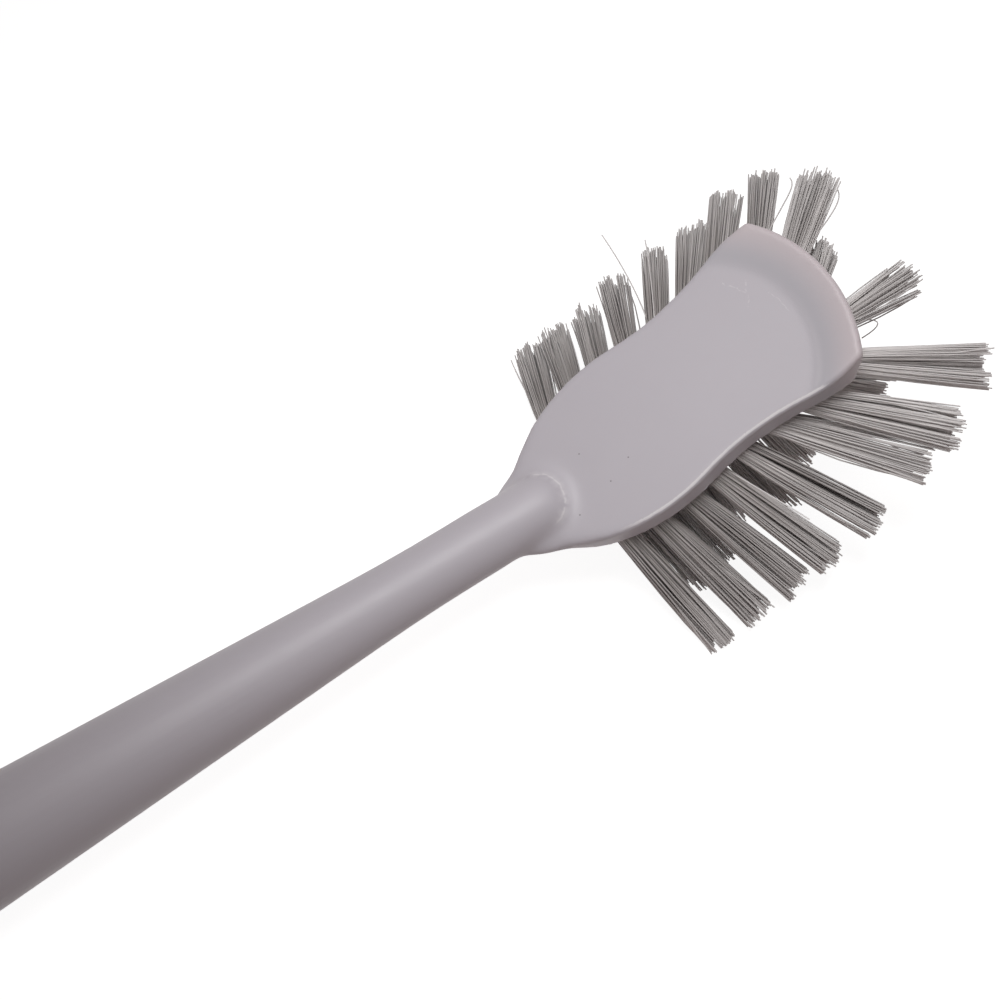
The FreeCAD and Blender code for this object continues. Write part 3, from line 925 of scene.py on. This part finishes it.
@dataclass
class BristleField:
    """All the tufts, each a bundle of single filaments that fan out to a ragged cut."""

    head: HeadFrame
    view: PhotoView
    strands: int = 130
    clump_count: int = 9
    strand_radius: float = 0.00015
    strand_sides: int = 5
    strand_segments: int = 6
    strand_smooth_deg: float = 75.0
    stray_segments: int = 16
    stray_tint: float = 0.75
    fold_band: float = 0.00001
    hole_depth: float = 0.005
    sunk: float = 0.003
    bundle_radius: float = 0.0018
    # The rows' mean tints are painted light and shade: the far row painted darker, the inner tufts under the
    # head and the front tufts paler, and the near row paler towards the tip where the lip shades it.
    fans: dict[Row, Fan] = field(
        default_factory=lambda: {
            Row.OUTER_NEAR: Fan(0.0034, 0.0027, 0.20, 0.020),
            Row.OUTER_FAR: Fan(0.0034, 0.0027, 0.02, 0.024),
            Row.INNER: Fan(0.0052, 0.0030, 0.95, 0.045),
            Row.FRONT: Fan(0.0042, 0.0028, 0.50, 0.050),
        }
    )
    near_growth: float = 0.05
    near_painted_light: float = 0.0158
    tips: dict[str, Pixel] = field(
        default_factory=lambda: {
            **numbered(
                "tuft_outer_near", (725, 645), (760, 615), (800, 588), (835, 561), (880, 522), (931, 468),
                (963, 431), (990, 365),
            ),
            **numbered(
                "tuft_outer_far", (528, 350), (553, 333), (585, 314), (612, 282), (654, 254), (692, 228),
                (725, 196), (764, 174),
            ),
            **numbered(
                "tuft_inner_near", (704, 585), (739, 558), (736, 524), (797, 502), (812, 459), (888, 383)
            ),
            "tuft_front_far": (822, 173),
            "tuft_front_centre": (826, 247),
            "tuft_front_near": (910, 275),
        }
    )
    worn_shares: dict[str, float] = field(default_factory=lambda: {"tuft_front_centre": 0.62})
    strays: tuple[Stray, ...] = (
        Stray("tuft_outer_far_5", ((645, 297), (602, 235))),
        Stray("tuft_outer_far_1", ((520, 385), (511, 360))),
        Stray("tuft_outer_far_5", ((652, 275), (645, 240))),
        Stray("tuft_front_far", ((822, 225), (845, 205), (838, 190))),
        Stray("tuft_outer_far_8", ((775, 205), (800, 190), (790, 178))),
        Stray("tuft_front_near", ((880, 312), (895, 318), (862, 338))),
        Stray("tuft_outer_near_6", ((851, 423), (901, 450))),
        Stray("tuft_inner_near_3", ((817, 520), (846, 541))),
    )
    ring_shares: tuple[float, ...] = (0.0, 0.06, 0.28, 0.52, 0.76, 1.0)
    spread_power: float = 0.7
    clump_hold: float = 0.78
    clump_jitter: float = 0.12
    clump_drift: float = 0.09
    clump_ragged: float = 1.3
    clump_tint_swing: float = 0.10
    tint_swing: float = 0.15
    lean: float = 0.05
    bow: float = 0.00015
    wild_share: float = 0.04
    wild_lean: float = 0.22
    wild_bow: float = 0.0005
    seed: int = 11

    def seats(self, frame: dict) -> list[TuftSeat]:
        """Read where every tuft stands from its CAD node, and how it leans from the photograph.


        Returns:
            The seats, in the order of the nodes' names.
        """
        up = self.head.up()
        found = []
        for node in sorted(frame["nodes"]):
            rows = [row for row in Row if node.startswith(row.value)]
            if not rows:
                continue
            places = vertex_places(frame["nodes"][node].data)
            heights = places @ np.array(up)
            fold = Vector(places[heights > heights.max() - self.fold_band].mean(axis=0))
            root = fold - up * self.hole_depth
            apart = np.linalg.norm(places - np.array(root), axis=1)
            tip = Vector(places[apart.argmax()]) - root
            length = tip.length * self.worn_shares.get(node, 1.0)
            way = tip.normalized()
            if node in self.tips:
                likely = -up if rows[0] is Row.INNER else way
                way = (self.view.point_behind(self.tips[node], root, length, likely) - root).normalized()
            found.append(TuftSeat(node, root, way, length, self.fan_of(node, rows[0])))
        return found

    def fan_of(self, node: str, row: Row) -> Fan:
        """Work out the fan of a tuft: wider along the near side and paler there by painted light, narrower on a
        worn tuft.

        Args:
            node: the tuft's CAD node.
            row: the row that it stands in.

        Returns:
            The fan.
        """
        fan = self.fans[row]
        place = int(node.rsplit("_", 1)[1]) - 1 if row is Row.OUTER_NEAR else 0
        across = fan.across * (1.0 + self.near_growth * place) * self.worn_shares.get(node, 1.0)
        return Fan(across, fan.over, fan.tint + self.near_painted_light * place**2, fan.ragged)

    def model_filament(self, segments: int) -> Piece:
        """Model one straight filament of unit length along +Z, to be copied for every strand.

        Args:
            segments: how many pieces its length is cut into.

        Returns:
            The filament.
        """
        bpy.ops.object.select_all(action="DESELECT")
        bpy.ops.mesh.primitive_cylinder_add(
            vertices=self.strand_sides, radius=self.strand_radius, depth=1.0, location=(0.0, 0.0, 0.5)
        )
        filament = bpy.context.object
        bpy.ops.object.transform_apply(location=True)
        mesh = filament.data
        bpy.ops.object.mode_set(mode="EDIT")
        bpy.ops.mesh.select_mode(type="EDGE")
        bpy.ops.mesh.select_all(action="DESELECT")
        bpy.ops.object.mode_set(mode="OBJECT")
        for edge in mesh.edges:
            heights = [mesh.vertices[index].co.z for index in edge.vertices]
            edge.select = max(heights) - min(heights) > 0.5
        bpy.ops.object.mode_set(mode="EDIT")
        bpy.ops.mesh.subdivide(number_cuts=segments - 1)
        bpy.ops.object.mode_set(mode="OBJECT")
        bpy.ops.object.shade_smooth_by_angle(angle=math.radians(self.strand_smooth_deg))
        for name in (STRAND_TINT, STRAND_ALONG):
            mesh.attributes.new(name, "FLOAT", "POINT")
        return filament

    def build(self, frame: dict) -> list[tuple[TuftSeat, Piece]]:
        """Model every tuft.


        Returns:
            The tufts' seats with their finished pieces.
        """
        straight = self.model_filament(self.strand_segments)
        bent = self.model_filament(self.stray_segments)
        rng = np.random.default_rng(self.seed)
        tufts = []
        for seat in self.seats(frame):
            strands = self.bundle(seat, straight, rng)
            for stray in self.strays:
                if stray.node == seat.node:
                    path = self.stray_path(seat, stray)
                    strands.append(self.copy_filament(seat, bent, path, self.stray_tint))
            tufts.append((seat, self.join_strands(seat, strands)))
        for filament in (straight, bent):
            bpy.data.objects.remove(filament)
        return tufts

    def axes(self, seat: TuftSeat) -> tuple[np.ndarray, np.ndarray]:
        """Return two directions square to a tuft: across it, level with the head, and over it."""
        across = seat.way.cross(self.head.up()).normalized()
        return np.array(across), np.array(seat.way.cross(across))

    def bundle(
        self, seat: TuftSeat, filament: Piece, rng: np.random.Generator
    ) -> list[Piece]:
        """Lay the strands of one tuft.

        Args:
            seat: where the tuft stands.
            filament: the filament that is copied.
            rng: the source of every strand's own lean, cut and tint.

        Returns:
            The strands.
        """
        clumps = []
        for index in range(self.clump_count):
            spot = disc_spot(index, self.clump_count) * (1.0 + rng.normal(0.0, self.clump_jitter))
            drift = rng.normal(0.0, self.clump_drift, 2)
            cut = 1.0 - abs(rng.normal(0.0, self.clump_ragged * seat.fan.ragged))
            clumps.append(Clump(spot, drift, cut, rng.normal(seat.fan.tint, self.clump_tint_swing)))
        strands = []
        for index in range(self.strands):
            spot = disc_spot(index, self.strands)
            clump = min(clumps, key=lambda each: float(np.linalg.norm(each.spot - spot)))
            path = self.strand_path(seat, spot, clump, rng)
            tint = float(np.clip(rng.normal(clump.tint, self.tint_swing), 0.0, 1.0))
            strands.append(self.copy_filament(seat, filament, path, tint))
        return strands

    def strand_path(
        self, seat: TuftSeat, spot: np.ndarray, clump: Clump, rng: np.random.Generator
    ) -> np.ndarray:
        """Lay out the centres of one strand's rings, from inside its hole to its cut tip.

        Args:
            seat: where the tuft stands.
            spot: the strand's place in the bundle at the hole, from -1 to 1 each way.
            clump: the clump that it clings to.
            rng: the source of its own lean, cut and bow.

        Returns:
            One row for each ring.
        """
        across, over = self.axes(seat)
        up = np.array(self.head.up())
        wild = rng.random() < self.wild_share
        held = clump.spot + clump.drift + (spot - clump.spot) * self.clump_hold
        tip_spot = held + rng.normal(0.0, self.wild_lean if wild else self.lean, 2)
        cut = clump.cut - abs(rng.normal(0.0, seat.fan.ragged))
        bow = rng.normal(0.0, self.wild_bow if wild else self.bow, 2)
        seat_offset = self.bundle_radius * (spot[0] * across + spot[1] * np.cross(across, up))
        tip_offset = seat.fan.across * tip_spot[0] * across + seat.fan.over * tip_spot[1] * over
        root = np.array(seat.root)
        way = np.array(seat.way)
        centres = [root + seat_offset + up * self.sunk]
        for share in self.ring_shares:
            sway = math.sin(math.pi * share) * (bow[0] * across + bow[1] * over)
            spread = share**self.spread_power
            offset = (1.0 - spread) * seat_offset + spread * tip_offset
            centres.append(root + way * (share * cut * seat.length) + offset + sway)
        return np.array(centres)

    def stray_path(self, seat: TuftSeat, stray: Stray) -> np.ndarray:
        """Lay out the centres of a stray filament's rings, from inside its hole to its tip.

        Args:
            seat: where its tuft stands.
            stray: the stray filament.

        Returns:
            One row for each ring.
        """
        count = len(stray.pixels)
        points = [np.array(seat.root + self.head.up() * self.sunk), np.array(seat.root)]
        for index, pixel in enumerate(stray.pixels):
            reach = seat.length * (index + 2) / (count + 1)
            points.append(np.array(self.view.point_behind(pixel, seat.root, reach, seat.way)))
        rings = range(self.stray_segments + 1)
        return np.array([bezier(points, ring / self.stray_segments) for ring in rings])

    def copy_filament(
        self, seat: TuftSeat, filament: Piece, path: np.ndarray, tint: float
    ) -> Piece:
        """Copy the filament along a path.

        Args:
            seat: where the tuft stands.
            filament: the filament that is copied.
            path: the centre of each of its rings.
            tint: the strand's own tint, from dull to pale.

        Returns:
            The strand, with its own mesh.
        """
        across, over = self.axes(seat)
        rest = vertex_places(filament.data)
        rings = np.rint(rest[:, 2] * (len(path) - 1)).astype(int)
        places = path[rings] + rest[:, :1] * across + rest[:, 1:2] * over
        places[:, 2] = np.maximum(places[:, 2], 0.0)
        strand = new_object(seat.node + "_strand", filament.data.copy())
        strand.data.vertices.foreach_set("co", places.astype(np.float32).ravel())
        strand.data.attributes[STRAND_TINT].data.foreach_set("value", np.full(len(rest), tint, np.float32))
        strand.data.attributes[STRAND_ALONG].data.foreach_set("value", rest[:, 2].astype(np.float32))
        return strand

    def join_strands(self, seat: TuftSeat, strands: list[Piece]) -> Piece:
        """Return the tuft that the strands make, joined into one mesh."""
        select_only(*strands)
        bpy.ops.object.join()
        tuft = bpy.context.object
        tuft.name = seat.node.replace("tuft", "bristles")
        tuft.data.name = tuft.name
        return tuft

    def dress(
        self, tufts: list[tuple[TuftSeat, Piece]], finish: BristleFilament, shelf: EffectShelf
    ) -> None:
        """Give the tufts their finish and seat them on the frame."""
        material = finish.build(shelf)
        for seat, tuft in tufts:
            tuft.data.materials.append(material)
            seat_piece(tuft, Slot.BRISTLE, seat.node)


@dataclass
class AnchorSet:
    """The flat wire anchors, which keep their CAD shape."""

    node: str = "tuft_anchors"

    def dress(self, frame: dict, finish: AnchorSteel, shelf: EffectShelf) -> None:
        """Give the anchors their finish."""
        mesh = frame["nodes"][self.node].data
        mesh.materials.clear()
        mesh.materials.append(finish.build(shelf))


@dataclass
class Studio:
    """The floor, the soft light and the camera."""

    view: PhotoView
    floor_radius: float = 3.0
    floor_sides: int = 96
    key_place: Point = (0.040, 0.020, 0.330)
    key_aim: Point = (0.054, 0.0, 0.035)
    key_size: float = 0.16
    key_spread_deg: float = 64.0
    key_power: float = 0.101
    sky: Colour = (1.0, 0.89, 0.87)
    sky_strength: float = 0.24
    white: Colour = (1.0, 1.0, 1.0)
    clip_start: float = 0.01

    def build(self, floor_finish: PaleFloor) -> None:
        """Set up the floor, the lights, the world and the camera."""
        self.lay_floor(floor_finish)
        self.hang_key()
        self.light_world()
        self.set_camera()
        bpy.context.scene.view_settings.view_transform = "Standard"

    def lay_floor(self, finish: PaleFloor) -> None:
        """Lay the round floor under the brush."""
        bpy.ops.object.select_all(action="DESELECT")
        bpy.ops.mesh.primitive_circle_add(
            vertices=self.floor_sides, radius=self.floor_radius, fill_type="NGON"
        )
        floor = bpy.context.object
        floor.name = "floor"
        floor.data.materials.append(finish.build())

    def hang_key(self) -> None:
        """Hang the soft key light over the head, with a grid that narrows it."""
        lamp = bpy.data.lights.new("key", "AREA")
        lamp.shape = "DISK"
        lamp.size = self.key_size
        lamp.spread = math.radians(self.key_spread_deg)
        lamp.energy = self.key_power
        holder = new_object("key", lamp)
        holder.location = self.key_place
        aim = Vector(self.key_aim) - Vector(self.key_place)
        holder.rotation_euler = aim.to_track_quat("-Z", "Y").to_euler()

    def light_world(self) -> None:
        """Fill the room with even light, white to the camera."""
        world = bpy.data.worlds.new("studio")
        bpy.context.scene.world = world
        world.use_nodes = True
        graph = Graph(world.node_tree)
        fill = graph.tree.nodes["Background"]
        graph.feed(fill, {"Color": self.sky, "Strength": self.sky_strength})
        white = graph.add("ShaderNodeBackground", {"Color": self.white, "Strength": 1.0})
        split_look(graph, "World Output", white, fill)

    def set_camera(self) -> None:
        """Stand the camera where the photograph was taken."""
        camera = bpy.data.cameras.new("camera")
        camera.lens = self.view.lens_mm
        camera.sensor_width = self.view.sensor_mm
        camera.clip_start = self.clip_start
        holder = new_object("camera", camera)
        holder.matrix_world = self.view.matrix()
        bpy.context.scene.camera = holder


def main() -> None:
    """Build the brush, sub-assembly by sub-assembly, and set up the studio."""
    logging.basicConfig(level=logging.INFO, format="%(name)s: %(message)s")
    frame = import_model()
    shelf = EffectShelf()
    head = HeadFrame()
    view = PhotoView(head)

    moulding = HandleMoulding(head)
    piece = moulding.build(frame)
    moulding.dress(piece, SatinPolypropylene(head), shelf)
    LOG.info("%s: %d faces", piece.name, len(piece.data.polygons))

    bristles = BristleField(head, view)
    tufts = bristles.build(frame)
    bristles.dress(tufts, BristleFilament(), shelf)
    for seat, tuft in tufts:
        LOG.info("%s: %d faces, %.1f mm free", tuft.name, len(tuft.data.polygons), seat.length * 1000)

    AnchorSet().dress(frame, AnchorSteel(), shelf)
    LOG.info("tuft_anchors: CAD shape, steel finish")

    Studio(view).build(PaleFloor())


if __name__ == "__main__":
    main()
